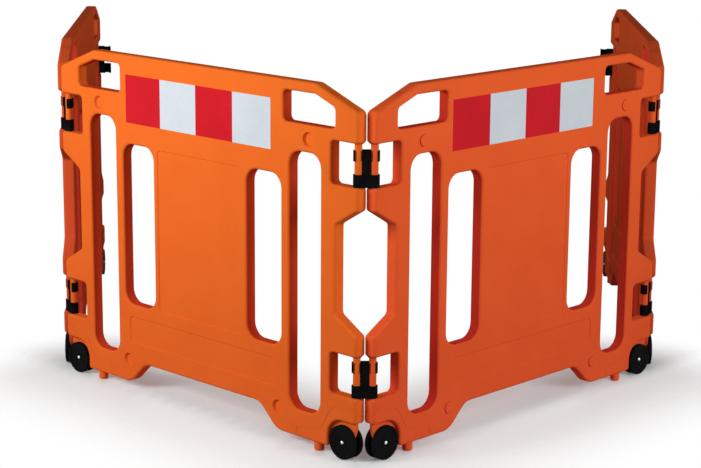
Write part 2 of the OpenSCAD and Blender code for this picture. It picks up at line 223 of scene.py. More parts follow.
# Floor, in metres: along the front panels it is half faded before them and whole behind them
FLOOR_REACH = 2.4
FLOOR_CELLS = 96
FLOOR_DARK = (0.705, 0.725, 0.722, 1.0)
FLOOR_LIGHT = (0.725, 0.745, 0.742, 1.0)
FLOOR_ROUGHNESS = 0.7
FLOOR_GLOSS = 0.2
FADE = "fade"
FADE_BASE = 0.50
FADE_BEFORE = (0.05, 0.50)
FADE_BEHIND = (0.0, 0.60)
SIDE_BLEND = (-0.06, 0.03)
END_STRETCH = 1.6

# Light: the room's strength, and the place, target, size and power of each softbox
ROOM_LIGHT = 0.08
SOFTBOXES = {
    "left_softbox": ((-2.3, -1.7, 1.4), (-0.45, -0.6, 0.85), (1.0, 1.0), 54),
    "right_softbox": ((2.6, -2.4, 1.35), (0.45, -0.6, 0.65), (1.2, 1.2), 60),
    "front_softbox": ((0.0, -3.0, 1.1), (0.0, -0.6, 0.6), (0.6, 0.6), 7),
    "back_softbox": ((0.0, 3.6, 2.0), (0.0, 0.0, 0.5), (2.4, 1.2), 54),
}


# Mesh building

class Shell:
    """Faces gathered in millimetres: points weld where they meet, normals stay with each face corner."""

    def __init__(self):
        self.points = []
        self.index = {}
        self.faces = []
        self.normals = []

    def vertex(self, point, normal):
        """A face corner: the number of the welded point, and its normal."""
        key = tuple(round(v, WELD_DIGITS) for v in point)
        if key not in self.index:
            self.index[key] = len(self.points)
            self.points.append(Vector(point))
        return self.index[key], Vector(normal).normalized()

    def face(self, corners):
        """Adds a face, wound so that it agrees with its corners' normals."""
        distinct = list({number: (number, normal) for number, normal in corners}.values())
        if len(distinct) < 3:
            return
        ring = [self.points[number] for number, _ in distinct]
        wound = sum((ring[i - 1].cross(ring[i]) for i in range(len(ring))), Vector())
        known = sum((normal for _, normal in distinct), Vector())
        if wound.dot(known) < 0:
            distinct.reverse()
        self.faces.append([number for number, _ in distinct])
        self.normals += [tuple(normal) for _, normal in distinct]

    def strip(self, ring_a, ring_b):
        """Quads between two closed rings of corners."""
        count = len(ring_a)
        for i in range(count):
            j = (i + 1) % count
            self.face([ring_a[i], ring_a[j], ring_b[j], ring_b[i]])

    def strips(self, rings):
        """Quads between each closed ring and the next one."""
        for ring_a, ring_b in zip(rings, rings[1:]):
            self.strip(ring_a, ring_b)

    def build(self, name):
        """A mesh in metres that keeps the known normals."""
        mesh = bpy.data.meshes.new(name)
        mesh.from_pydata([p * MM for p in self.points], [], self.faces)
        for polygon in mesh.polygons:
            polygon.use_smooth = True
        mesh.normals_split_custom_set(self.normals)
        return mesh


def rounded_loop(corners):
    """A closed outline from (x, z, radius) corners, each corner rounded with an arc."""
    points = []
    count = len(corners)
    for i, (x, z, radius) in enumerate(corners):
        here = Vector((x, z))
        back = (Vector(corners[i - 1][:2]) - here).normalized()
        ahead = (Vector(corners[(i + 1) % count][:2]) - here).normalized()
        half = back.angle(ahead) / 2
        if radius <= 0 or half > math.pi / 2 - STRAIGHT_ANGLE:
            points.append(here)
            continue
        reach = radius / math.tan(half)
        centre = here + (back + ahead).normalized() * (radius / math.sin(half))
        start = here + back * reach - centre
        sweep = math.pi - 2 * half
        turn = 1 if back.x * ahead.y - back.y * ahead.x < 0 else -1
        steps = max(2, math.ceil(sweep / ARC_STEP))
        for k in range(steps + 1):
            angle = turn * sweep * k / steps
            points.append(centre + Matrix.Rotation(angle, 2) @ start)
    return points


def mirrored(loop):
    """The outline on the other side of the middle, running so that its material stays on the same hand."""
    return [Vector((-p.x, p.y)) for p in reversed(loop)]


def loop_normals(points):
    """Miter normals toward the left of the outline, scaled so that an offset keeps its distance."""
    result = []
    count = len(points)
    for i in range(count):
        before = (points[i] - points[i - 1]).normalized()
        after = (points[(i + 1) % count] - points[i]).normalized()
        left_a = Vector((-before.y, before.x))
        left_b = Vector((-after.y, after.x))
        result.append((left_a + left_b) / max(LEAST_MITER, 1 + left_a.dot(left_b)))
    return result


def offset_loop(points, normals, distance):
    """The outline moved along its miter normals."""
    return [p + n * distance for p, n in zip(points, normals)]


def mitred(points):
    """The outline as a function of how far it is moved to its left."""
    normals = loop_normals(points)
    return lambda inset: offset_loop(points, normals, inset)


def inside(point, loops):
    """Even-odd test of a point against closed loops."""
    hit = False
    for loop in loops:
        for a, b in zip(loop, [loop[-1]] + loop[:-1]):
            if (a.y > point.y) != (b.y > point.y):
                if point.x < (b.x - a.x) * (point.y - a.y) / (b.y - a.y) + a.x:
                    hit = not hit
    return hit


def upright(p, depth):
    """Flat (x, z) and depth along Y as a solid point or direction."""
    return Vector((p.x, depth, p.y))


def level(p, depth):
    """Flat (x, y) and depth along Z as a solid point or direction."""
    return Vector((p.x, p.y, depth))


def fill_flat(shell, loops, place, depth, side):
    """Fills the area between loops at a depth with triangles that face the given side, -1 or 1."""
    points = [p for loop in loops for p in loop]
    edges = []
    base = 0
    for loop in loops:
        edges += [(base + i, base + (i + 1) % len(loop)) for i in range(len(loop))]
        base += len(loop)
    normal = place(Vector((0, 0)), side)
    verts, _, faces, *_ = delaunay_2d_cdt(points, edges, [], 0, MERGE_DISTANCE)
    for face in faces:
        middle = sum((verts[v] for v in face), Vector((0, 0))) / len(face)
        if inside(middle, loops):
            shell.face([shell.vertex(place(verts[v], depth), normal) for v in face])


def rounded_wall(shell, outline, place, low, high, radius, steps):
    """The wall along an outline whose material lies to its left, with rounded edges at both ends.

    outline(inset) gives the flat outline moved into the material, and place(flat point, depth) the
    solid point. Returns the flat outline that is left at each end.
    """
    ends = []
    for end, sign in ((low, -1), (high, 1)):
        rings = []
        for k in range(steps + 1):
            swing = math.pi / 2 * k / steps
            points = outline(radius * (1 - math.cos(swing)))
            depth = end - sign * radius * (1 - math.sin(swing))
            ring = []
            for p, n in zip(points, loop_normals(points)):
                normal = place(-n.normalized() * math.cos(swing), sign * math.sin(swing))
                ring.append(shell.vertex(place(p, depth), normal))
            rings.append(ring)
        ends.append(rings)
    shell.strips(ends[0][::-1] + ends[1])
    return outline(radius)


def rounded_block(shell, outline, place, low, high, radius, steps):
    """A block with a rounded wall and flat ends."""
    rim = rounded_wall(shell, outline, place, low, high, radius, steps)
    for depth, side in ((low, -1), (high, 1)):
        fill_flat(shell, [rim], place, depth, side)


def turned(shell, profile, centre, axis, sides):
    """A turned surface from (radius, height, normal radius, normal height) points about an axis."""
    axis = Vector(axis)
    side = axis.orthogonal().normalized()
    other = axis.cross(side)
    rings = []
    for radius, height, normal_r, normal_h in profile:
        ring = []
        for k in range(sides):
            angle = 2 * math.pi * k / sides
            spoke = side * math.cos(angle) + other * math.sin(angle)
            point = Vector(centre) + spoke * radius + axis * height
            ring.append(shell.vertex(point, spoke * normal_r + axis * normal_h))
        rings.append(ring)
    shell.strips(rings)
    return rings


def round_profile(corners, steps):
    """A lathe profile from (radius, height, rounding) corners, with the material on its left side."""
    profile = []
    last = len(corners) - 1
    for i, (r, h, rounding) in enumerate(corners):
        here = Vector((r, h))
        if i in (0, last):
            run = Vector(corners[1][:2]) - here if i == 0 else here - Vector(corners[last - 1][:2])
            run = run.normalized()
            profile.append((r, h, run.y, -run.x))
            continue
        run_a = (here - Vector(corners[i - 1][:2])).normalized()
        run_b = (Vector(corners[i + 1][:2]) - here).normalized()
        normal_a = Vector((run_a.y, -run_a.x))
        normal_b = Vector((run_b.y, -run_b.x))
        if rounding <= 0:
            profile.append((r, h, normal_a.x, normal_a.y))
            profile.append((r, h, normal_b.x, normal_b.y))
            continue
        bend = run_a.angle_signed(run_b)
        reach = rounding * math.tan(abs(bend) / 2)
        start = here - run_a * reach
        turn = 1 if bend < 0 else -1
        centre = start - normal_a * rounding * turn
        for k in range(steps + 1):
            normal = Matrix.Rotation(-bend * k / steps, 2) @ normal_a
            point = centre + normal * rounding * turn
            profile.append((point.x, point.y, normal.x, normal.y))
    return profile


def soft_rise(share):
    """Rises from 0 to 1 with the share, level at both ends."""
    return share * share * (3 - 2 * share)


def soft_rise_slope(share):
    """How steep the soft rise is."""
    return 6 * share * (1 - share)


# Panel moulding

def notch_corners(low, high):
    """Corners of a notch in the panel's right end."""
    return [(HALF_W, low, END_R), (NOTCH_X, low, NOTCH_R), (NOTCH_X, high, NOTCH_R), (HALF_W, high, END_R)]


def panel_outline():
    """The outline, mirrored from its right half: from the belly round the end to the top."""
    waist_low, waist_high = WAIST_Z
    right = [
        (LEG_SLOPE_X[0], BELLY_Z, LEG_SLOPE_R[0]), (LEG_SLOPE_X[1], LEG_Z, LEG_SLOPE_R[1]),
        (ARCH_X, LEG_Z, LEG_END_R), (ARCH_X, ARCH_Z, ARCH_R), (HALF_W, ARCH_Z, END_R),
        *notch_corners(*LOWER_NOTCH),
        (HALF_W, waist_low - WAIST_RISE, WAIST_END_R), (WAIST_X, waist_low, WAIST_R),
        (WAIST_X, waist_high, WAIST_R), (HALF_W, waist_high + WAIST_RISE, WAIST_END_R),
        *notch_corners(*UPPER_NOTCH),
        (HALF_W, SHOULDER_Z, SHOULDER_END_R), (SHOULDER_X, TOP_Z, SHOULDER_TOP_R),
    ]
    left = [(-x, z, r) for x, z, r in reversed(right)]
    return rounded_loop(right + left)


def box_corners(span_x, span_z, radius):
    """Corners of a flat box, all with the same rounding."""
    x0, x1 = span_x
    z0, z1 = span_z
    return [(x0, z0, radius), (x1, z0, radius), (x1, z1, radius), (x0, z1, radius)]


def panel_holes():
    """Handle holes and slots, each running so that the material is on the left."""
    x0, x1 = GRIP_X
    z0, z1 = GRIP_Z
    grip = [(x0, z0, GRIP_R), (x1, z0, GRIP_R), (x1, GRIP_END_Z, GRIP_R),
            (SHOULDER_X, z1, GRIP_TOP_R), (x0, z1, GRIP_R)]
    outer_slot = box_corners(OUTER_SLOT_X, OUTER_SLOT_Z, SLOT_R)
    inner_slot = box_corners(INNER_SLOT_X, INNER_SLOT_Z, SLOT_R)
    loops = []
    for shape in (grip, outer_slot, inner_slot):
        hole = rounded_loop(shape)[::-1]
        loops += [hole, mirrored(hole)]
    return loops


def sunk_fields():
    """The field between the inner slots and the band under it, with their middles on the left."""
    return [rounded_loop(box_corners((-FIELD_HALF_W, FIELD_HALF_W), INNER_SLOT_Z, FIELD_R)),
            rounded_loop(box_corners((-BAND_HALF_W, BAND_HALF_W), BAND_Z, FIELD_R))]


def add_field(shell, side, field):
    """A shallow field on one face, with a soft slope down to its floor."""
    normals = loop_normals(field)
    rings = []
    for k in range(FIELD_STEPS + 1):
        share = k / FIELD_STEPS
        depth = side * (HALF_T - FIELD_DEPTH * soft_rise(share))
        slope = FIELD_DEPTH / FIELD_SLOPE * soft_rise_slope(share)
        flat = offset_loop(field, normals, FIELD_SLOPE * share)
        rings.append([shell.vertex(upright(p, depth), upright(n * slope, side))
                      for p, n in zip(flat, normals)])
    shell.strips(rings)
    floor = offset_loop(field, normals, FIELD_SLOPE)
    fill_flat(shell, [floor], upright, side * (HALF_T - FIELD_DEPTH), side)


def add_face(shell, side, loops, mark_profile):
    """One face of the panel with its sunk fields and nesting marks; side is -1 outer or 1 inner."""
    plane = side * HALF_T
    fields = sunk_fields()
    for field in fields:
        add_field(shell, side, field)
    rims = []
    for x, z in MARKS:
        for mirror in (-1, 1):
            rings = turned(shell, mark_profile, (mirror * x, plane, z), (0, side, 0), MARK_SIDES)
            rim = [shell.points[number] for number, _ in rings[0]]
            rims.append([Vector((p.x, p.z)) for p in rim])
    fill_flat(shell, loops + fields + rims, upright, plane, side)


def add_posts(shell):
    """Round hinge posts across the notches, with a small flare at the top."""
    for low, high in (UPPER_NOTCH, LOWER_NOTCH):
        rise = high - low
        profile = [(0, -POST_ROOT, 0, -1), (POST_R, -POST_ROOT, 0, -1),
                   (POST_R, -POST_ROOT, 1, 0), (POST_R, rise - POST_FLARE, 1, 0)]
        for k in range(1, FLARE_STEPS + 1):
            swing = math.pi / 2 * k / FLARE_STEPS
            across, up = math.cos(swing), math.sin(swing)
            profile.append((POST_R + POST_FLARE * (1 - across), rise - POST_FLARE * (1 - up), across, -up))
        profile += [(POST_R + POST_FLARE, rise, 0, 1), (0, rise, 0, 1)]
        for end in (-1, 1):
            turned(shell, profile, (end * POST_X, 0, low), (0, 0, 1), ROD_SIDES)


def add_webs(shell):
    """The thin webs that carry the wheels, tapering toward the axle."""
    x0, x1 = WEB_X
    foot_x0, foot_x1 = WEB_FOOT_X
    root_z = ARCH_Z + WEB_ROOT
    right = rounded_loop([
        (x0, root_z, 0), (x0, WEB_SHOULDER_Z, WEB_SHOULDER_R),
        (foot_x0, WEB_FOOT_Z, WEB_FOOT_R), (foot_x1, WEB_FOOT_Z, WEB_FOOT_R),
        (x1, WEB_SHOULDER_Z, WEB_SHOULDER_R), (x1, root_z, 0),
    ])
    for loop in (right, mirrored(right)):
        rounded_block(shell, mitred(loop), upright, -WEB_HALF_T, WEB_HALF_T, WEB_EDGE_R, SMALL_EDGE_STEPS)


def add_pegs(shell):
    """Foot pegs under the legs."""
    top = LEG_Z + PEG_ROOT
    corners = [(0, 0, 0), (PEG_R, 0, PEG_EDGE_R), (PEG_R, top, 0), (0, top, 0)]
    profile = round_profile(corners, PROFILE_STEPS)
    for end in (-1, 1):
        turned(shell, profile, (end * PEG_X, 0, 0), (0, 0, 1), ROD_SIDES)


def strip_corners(path, half_width):
    """Corners of the closed strip along an open path of (x, z, radius) corners."""
    points = [Vector(corner[:2]) for corner in path]
    runs = [(b - a).normalized() for a, b in zip(points, points[1:])]
    near, far = [], []
    for k, (x, z, radius) in enumerate(path):
        ahead = runs[max(0, k - 1)] + runs[min(k, len(runs) - 1)]
        across = Vector((-ahead.y, ahead.x)) * (2 * half_width / ahead.length_squared)
        near.append((x - across.x, z - across.y, radius))
        far.append((x + across.x, z + across.y, radius))
    return near + far[::-1]


def add_beads(shell):
    """The low bead that runs round each wheel arch on both faces."""
    right = rounded_loop(strip_corners(BEAD_PATH, BEAD_HALF_W))
    for loop in (right, mirrored(right)):
        for side in (-1, 1):
            low, high = sorted((side * (HALF_T - BEAD_ROOT), side * (HALF_T + BEAD_H)))
            rounded_block(shell, mitred(loop), upright, low, high, BEAD_EDGE_R, BEAD_STEPS)


def panel_mesh():
    """The whole moulding with cups on its -Y face and bosses on its +Y face."""
    shell = Shell()
    loops = []
    for outline in [panel_outline()] + panel_holes():
        loops.append(rounded_wall(shell, mitred(outline), upright, -HALF_T, HALF_T, EDGE_R, EDGE_STEPS))
    add_face(shell, -1, loops, round_profile(CUP_CORNERS, PROFILE_STEPS))
    add_face(shell, 1, loops, round_profile(BOSS_CORNERS, PROFILE_STEPS))
    add_posts(shell)
    add_webs(shell)
    add_pegs(shell)
    add_beads(shell)
    return shell.build("panel_moulding")


# Wheels and caps

def wheel_mesh():
    """One wheel about Z with its stepped outer face at +Z; the web side is at Z = 0."""
    shell = Shell()
    hub_z = WHEEL_T - HUB_SINK
    corners = [(WHEEL_BORE_R, 0, 0), (WHEEL_R, 0, WHEEL_BACK_EDGE_R), (WHEEL_R, WHEEL_T, WHEEL_EDGE_R)]
    corners += [(radius, WHEEL_T - sink, rounding) for radius, sink, rounding in WHEEL_STEPS]
    corners.append((WHEEL_BORE_R, hub_z, 0))
    bore = [(WHEEL_BORE_R, hub_z, -1, 0), (WHEEL_BORE_R, 0, -1, 0)]
    for profile in (round_profile(corners, WHEEL_PROFILE_STEPS), bore):
        turned(shell, profile, (0, 0, 0), (0, 0, 1), WHEEL_SIDES)
    return shell.build("wheel")


def cap_set_mesh():
    """The four domed push-on caps of one panel in the panel's own frame."""
    shell = Shell()
    dome = [(CAP_R, 0, 1, 0), (CAP_R, CAP_RIM, 1, 0)]
    for k in range(1, CAP_STEPS + 1):
        swing = math.pi / 2 * k / CAP_STEPS
        across, up = math.cos(swing), math.sin(swing)
        dome.append((CAP_R * across, CAP_RIM + CAP_DOME * up, across, up))
    seat = [(0, 0, 0, -1), (CAP_R, 0, 0, -1)]
    for end in (-1, 1):
        for face in (-1, 1):
            for profile in (dome, seat):
                turned(shell, profile, (end * AXLE_X, face * CAP_SEAT, AXLE_Z), (0, face, 0), ROD_SIDES)
    return shell.build("axle_cap_set")


# Hinge links

def arc(centre_x, radius, start, end, steps):
    """Points of an arc about a centre on the X axis."""
    angles = [start + (end - start) * k / steps for k in range(steps + 1)]
    return [Vector((centre_x + radius * math.cos(a), radius * math.sin(a))) for a in angles]


def ring_pair_outline(inset, mouth, flip):
    """A pair of open rings joined by a plate and the column, mouths toward +Y unless flipped."""
    outer_r = RING_OUT_R - inset
    inner_r = RING_R + inset
    column_x = COLUMN_HALF_X - COLUMN_SINK - inset
    mouth_out = math.acos((mouth + inset) / outer_r)
    mouth_in = math.acos((mouth + inset) / inner_r)
    meet = math.acos((column_x - HALF_PITCH) / outer_r)
    right = [Vector((0, -outer_r))]
    right += arc(HALF_PITCH, outer_r, -math.pi / 2, mouth_out, RING_OUTER_STEPS)
    right += arc(HALF_PITCH, inner_r, mouth_in, -math.pi - mouth_in, RING_INNER_STEPS)
    right += arc(HALF_PITCH, outer_r, math.pi - mouth_out, meet, RING_JOIN_STEPS)
    right += [Vector((column_x, COLUMN_HALF_Y - COLUMN_SINK - inset))]
    loop = right + mirrored(right[1:])
    if flip:
        loop = [Vector((p.x, -p.y)) for p in reversed(loop)]
    return loop


def link_mesh():
    """A hinge link about its middle, its foot at Z = 0."""
    shell = Shell()
    column = rounded_loop(box_corners(
        (-COLUMN_HALF_X, COLUMN_HALF_X), (-COLUMN_HALF_Y, COLUMN_HALF_Y), COLUMN_R))
    blocks = [
        (lambda inset: ring_pair_outline(inset, LOWER_MOUTH, False), LOWER_RINGS_Z),
        (lambda inset: ring_pair_outline(inset, UPPER_MOUTH, True), UPPER_RINGS_Z),
        (mitred(column), COLUMN_Z),
    ]
    for outline, (low, high) in blocks:
        rounded_block(shell, outline, level, low, high, LINK_EDGE_R, SMALL_EDGE_STEPS)
    return shell.build("hinge_link")


# Node helpers

def grey(value):
    """An even colour."""
    return (value, value, value, 1.0)


def srgb(red, green, blue):
    """A linear colour from 8-bit display values."""
    def linear(value):
        share = value / 255
        return share / 12.92 if share <= 0.04045 else ((share + 0.055) / 1.055) ** 2.4
    return (linear(red), linear(green), linear(blue), 1.0)


def new_material(name):
    """A new material, its node tree and its shader."""
    material = bpy.data.materials.new(name)
    material.use_nodes = True
    tree = material.node_tree
    return material, tree, tree.nodes["Principled BSDF"]


def add_node(tree, kind, **values):
    """A node with its inputs or settings given by name."""
    node = tree.nodes.new(kind)
    for key, value in values.items():
        if key in node.inputs:
            node.inputs[key].default_value = value
        else:
            setattr(node, key, value)
    return node


def part_coordinates(tree, scale=(1.0, 1.0, 1.0)):
    """Object coordinates stretched per axis."""
    coordinates = add_node(tree, "ShaderNodeTexCoord")
    mapping = add_node(tree, "ShaderNodeMapping", Scale=scale)
    tree.links.new(coordinates.outputs["Object"], mapping.inputs["Vector"])
    return mapping.outputs["Vector"]


def components(tree, vector):
    """The X, Y and Z outputs for a vector."""
    node = add_node(tree, "ShaderNodeSeparateXYZ")
    tree.links.new(vector, node.inputs["Vector"])
    return node.outputs


def calculate(tree, operation, *values):
    """The result of a math operation on sockets."""
    node = add_node(tree, "ShaderNodeMath", operation=operation)
    for socket, value in zip(node.inputs, values):
        tree.links.new(value, socket)
    return node.outputs["Value"]


def noise(tree, vector, scale, detail, roughness=0.55):
    """A noise value, with its scale per metre."""
    texture = add_node(tree, "ShaderNodeTexNoise", Scale=scale, Detail=detail, Roughness=roughness)
    tree.links.new(vector, texture.inputs["Vector"])
    return texture.outputs["Fac"]


def ramp(tree, value, low, high):
    """A colour ramp between two (position, colour) stops."""
    node = add_node(tree, "ShaderNodeValToRGB")
    for element, (position, colour) in zip(node.color_ramp.elements, (low, high)):
        element.position = position
        element.color = colour
    tree.links.new(value, node.inputs["Fac"])
    return node.outputs["Color"]


def falling(tree, value, low, high):
    """White up to the low value, black from the high value on."""
    return ramp(tree, value, (low, grey(1.0)), (high, grey(0.0)))


def mix_colour(tree, factor, colour_a, colour_b, blend="MIX"):
    """A colour mix; each of the factor and the colours is a socket or a plain value."""
    node = add_node(tree, "ShaderNodeMix", data_type="RGBA", blend_type=blend)
    sockets = [s for s in node.inputs if s.enabled]
    for socket, value in zip(sockets, (factor, colour_a, colour_b)):
        if isinstance(value, bpy.types.NodeSocket):
            tree.links.new(value, socket)
        else:
            socket.default_value = value
    return next(s for s in node.outputs if s.enabled)


def tinted(tree, colour, tint):
    """A colour times a tint."""
    return mix_colour(tree, 1.0, colour, tint, "MULTIPLY")


def bump(tree, height, strength, distance):
    """A normal from a height value."""
    node = add_node(tree, "ShaderNodeBump", Strength=strength, Distance=distance)
    tree.links.new(height, node.inputs["Height"])
    return node.outputs["Normal"]


def mix_shaders(tree, factor, shader_a, shader_b, output_name):
    """Mixes two shaders into the tree's output."""
    blend = add_node(tree, "ShaderNodeMixShader")
    for socket, value in zip(blend.inputs, (factor, shader_a, shader_b)):
        tree.links.new(value, socket)
    tree.links.new(blend.outputs["Shader"], tree.nodes[output_name].inputs["Surface"])


# Orange finish: a tint of painted light and shade for each panel, painted shade low down and painted shade
# on the walls of openings
ORANGE_DARK = (0.83, 0.118, 0.020, 1.0)
ORANGE_LIGHT = (0.88, 0.132, 0.024, 1.0)
# Painted light and shade: each panel's tint lightens or darkens it to stand in for the light it gets
PANEL_LIGHT_TINTS = {
    "a": (0.79, 0.73, 1.16, 1.0),
    "b": (0.98, 1.24, 0.92, 1.0),
    "c": (0.99, 0.95, 1.25, 1.0),
    "d": (0.78, 0.73, 1.06, 1.0),
}
# Painted shade: darker and redder towards the bottom of each panel
LOW_SHADE_TINT = (0.92, 0.80, 1.0, 1.0)
LOW_SHADE_Z = (0.05, 0.95)
# Painted shade on the walls of the openings, and the mask that picks those walls
WALL_SHADE_TINT = (0.80, 0.40, 0.85, 1.0)
WALL_SHADE_FACING = (0.25, 0.60)
WALL_SHADE_REACH_X = (0.505, 0.53)
WALL_SHADE_REACH_Z = (0.972, 0.985)
SCUFF_COLOUR = srgb(250, 156, 96)
SCUFF_STRETCH = (1.0, 1.0, 9.0)
SCUFF_SHARE = 0.16

# Sheet and zinc finishes
CELLS_PER_METRE = 330.0
SHEET_GLOSS = 0.05
ZINC_DARK = srgb(176, 180, 184)
ZINC_LIGHT = srgb(214, 216, 218)
ZINC_ROUGHNESS_SPREAD = 0.12


def opening_wall_shade(tree):
    """Mask of painted shade: white on the walls of a panel's openings, black on its faces, its ends and its
    top.
    """
    coordinates = add_node(tree, "ShaderNodeTexCoord")
    place = components(tree, coordinates.outputs["Object"])
    facing = components(tree, coordinates.outputs["Normal"])
    wall = falling(tree, calculate(tree, "ABSOLUTE", facing["Y"]), *WALL_SHADE_FACING)
    inner = falling(tree, calculate(tree, "ABSOLUTE", place["X"]), *WALL_SHADE_REACH_X)
    below = falling(tree, place["Z"], *WALL_SHADE_REACH_Z)
    return tinted(tree, wall, tinted(tree, inner, below))


def orange_polyethylene():
    """Matt moulded polyethylene, painted a little darker low down as shade, with painted shade on the walls
    of its openings and a tint of painted light and shade for each panel.
    """
    material, tree, shader = new_material("orange_polyethylene")
    plain = part_coordinates(tree)
    cloud = noise(tree, plain, scale=6.0, detail=4.0)
    grain = noise(tree, plain, scale=900.0, detail=2.0)
    scuff = noise(tree, part_coordinates(tree, SCUFF_STRETCH), scale=38.0, detail=8.0, roughness=0.7)
    base = ramp(tree, cloud, (0.3, ORANGE_DARK), (0.7, ORANGE_LIGHT))
    # Painted shade, darker and redder towards the bottom
    low_z, high_z = LOW_SHADE_Z
    low_shade = ramp(tree, components(tree, plain)["Z"], (low_z, LOW_SHADE_TINT), (high_z, grey(1.0)))
    base = tinted(tree, base, low_shade)
    # Painted shade: the walls of the openings darker and redder
    base = mix_colour(tree, opening_wall_shade(tree), base, tinted(tree, base, WALL_SHADE_TINT))
    # Painted light and shade: the panel's own tint, set on its object colour
    panel_light_tint = add_node(tree, "ShaderNodeObjectInfo")
    base = tinted(tree, base, panel_light_tint.outputs["Color"])
    pale = ramp(tree, scuff, (0.66, grey(0.0)), (0.78, grey(SCUFF_SHARE)))
    tree.links.new(mix_colour(tree, pale, base, SCUFF_COLOUR), shader.inputs["Base Color"])
    rough = ramp(tree, cloud, (0.3, grey(0.40)), (0.75, grey(0.50)))
    tree.links.new(rough, shader.inputs["Roughness"])
    tree.links.new(bump(tree, grain, strength=0.08, distance=0.0004), shader.inputs["Normal"])
    shader.inputs["Specular IOR Level"].default_value = 0.0
    return material


def reflective_sheet(name, light, dark):
    """Retroreflective sheet: fine honeycomb cells under a smooth face."""
    material, tree, shader = new_material(name)
    plain = part_coordinates(tree)
    cells = add_node(tree, "ShaderNodeTexVoronoi", Scale=CELLS_PER_METRE, feature="DISTANCE_TO_EDGE")
    tree.links.new(plain, cells.inputs["Vector"])
    border = ramp(tree, cells.outputs["Distance"], (0.02, grey(0.0)), (0.10, grey(1.0)))
    cloud = noise(tree, plain, scale=9.0, detail=3.0)
    tone = ramp(tree, cloud, (0.0, dark), (0.7, light))
    tree.links.new(mix_colour(tree, border, dark, tone), shader.inputs["Base Color"])
    rough = ramp(tree, cloud, (0.3, grey(0.24)), (0.7, grey(0.34)))
    tree.links.new(rough, shader.inputs["Roughness"])
    shader.inputs["Specular IOR Level"].default_value = SHEET_GLOSS
    return material


def black_plastic(name, dark, light, rough_low, rough_high, gloss):
    """Black moulded plastic between two 8-bit greys, dusty and a little worn."""
    material, tree, shader = new_material(name)
    plain = part_coordinates(tree)
    dust = noise(tree, plain, scale=46.0, detail=6.0, roughness=0.65)
    grain = noise(tree, plain, scale=1100.0, detail=2.0)
    colour = ramp(tree, dust, (0.35, srgb(dark, dark, dark)), (0.72, srgb(light, light, light)))
    tree.links.new(colour, shader.inputs["Base Color"])
    rough = ramp(tree, dust, (0.35, grey(rough_low)), (0.7, grey(rough_high)))
    tree.links.new(rough, shader.inputs["Roughness"])
    tree.links.new(bump(tree, grain, strength=0.12, distance=0.0003), shader.inputs["Normal"])
    shader.inputs["Specular IOR Level"].default_value = gloss
    return material


def zinc(name, roughness):
    """Zinc-plated steel with a soft mottle."""
    material, tree, shader = new_material(name)
    mottle = noise(tree, part_coordinates(tree), scale=260.0, detail=4.0)
    colour = ramp(tree, mottle, (0.3, ZINC_DARK), (0.7, ZINC_LIGHT))
    tree.links.new(colour, shader.inputs["Base Color"])
    rough = ramp(tree, mottle, (0.3, grey(roughness)), (0.7, grey(roughness + ZINC_ROUGHNESS_SPREAD)))
    tree.links.new(rough, shader.inputs["Roughness"])
    shader.inputs["Metallic"].default_value = 1.0
    return material


ORANGE = orange_polyethylene()
RED = reflective_sheet("red_reflective", srgb(212, 30, 40), srgb(192, 22, 34))
WHITE = reflective_sheet("white_reflective", srgb(216, 222, 227), srgb(198, 206, 214))
BLACK_WHEEL = black_plastic("black_wheel_plastic", 10, 18, rough_low=0.70, rough_high=0.80, gloss=0.03)
BLACK_LINK = black_plastic("black_link_plastic", 15, 24, rough_low=0.38, rough_high=0.52, gloss=0.0)
ZINC = zinc("zinc_steel", 0.28)
ZINC_CAP = zinc("zinc_caps", 0.22)


# Placing the pieces

def hinge_point(body_a, body_b):
    """Where the hinge between two bodies stands."""
    pair = {body_a, body_b}
    return next(Vector(joint["pos_m"]) for joint in frame["joints"]
                if {joint["parent"], joint["child"]} == pair)


def mount_point(name):
    """Where a mount of the record is."""
    return Vector(MOUNTS[name]["pos_m"])


def heading_matrix(left, right):
    """A frame standing on the floor midway between two posts, its X axis from left to right."""
    run = (right - left).to_2d()
    middle = (left + right) / 2
    turn = Matrix.Rotation(math.atan2(run.y, run.x), 4, "Z")
    return Matrix.Translation((middle.x, middle.y, 0)) @ turn


def put(name, mesh, matrix, body, material, node):
    """Places a copy of a mesh for one CAD node."""
    piece = bpy.data.objects.new(name, mesh.copy())
    bpy.context.scene.collection.objects.link(piece)
    piece.data.materials.clear()
    piece.data.materials.append(material)
    piece.matrix_world = matrix
    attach(piece, body)
    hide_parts(node)
    return piece


def panel_posts(key):
    """The hinge points at the left and the right end of a panel."""
    return [hinge_point("panel_" + key, neighbour) for neighbour in PANEL_ENDS[key]]


def panel_frame(key):
    """The frame of a panel, seen from its outside face."""
    return heading_matrix(*panel_posts(key))


def place_panels():
    """The four mouldings; some are turned round, so that bosses meet cups in the folded unit."""
    mesh = panel_mesh()
    for key in PANEL_ENDS:
        matrix = panel_frame(key)
        if key in TURNED_PANELS:
            matrix = matrix @ Matrix.Rotation(math.pi, 4, "Z")
        node = "panel_" + key
        piece = put("moulding_" + key, mesh, matrix, node, ORANGE, node)
        # The panel's tint of painted light and shade, read by the orange material
        piece.color = PANEL_LIGHT_TINTS[key]


def place_wheels():
    """A wheel on each side of each web."""
    mesh = wheel_mesh()
    for key in PANEL_ENDS:
        for end, end_name in ((-1, "left"), (1, "right")):
            for face, face_name in ((-1, "outer"), (1, "inner")):
                seat = Matrix.Translation(Vector((end * AXLE_X, face * WHEEL_SEAT, AXLE_Z)) * MM)
                matrix = panel_frame(key) @ seat @ Matrix.Rotation(-face * math.pi / 2, 4, "X")
                node = f"wheel_{key}_{end_name}_{face_name}"
                put("turned_" + node, mesh, matrix, node, BLACK_WHEEL, node)


def place_caps():
    """The caps on the axles of each panel."""
    mesh = cap_set_mesh()
    for key in PANEL_ENDS:
        put("domed_caps_" + key, mesh, panel_frame(key), "panel_" + key, ZINC_CAP,
            "axle_caps_" + key)


def link_lift(notch):
    """The height of a link that stands in a notch."""
    return Matrix.Translation((0, 0, (notch[0] + LINK_GAP) * MM))


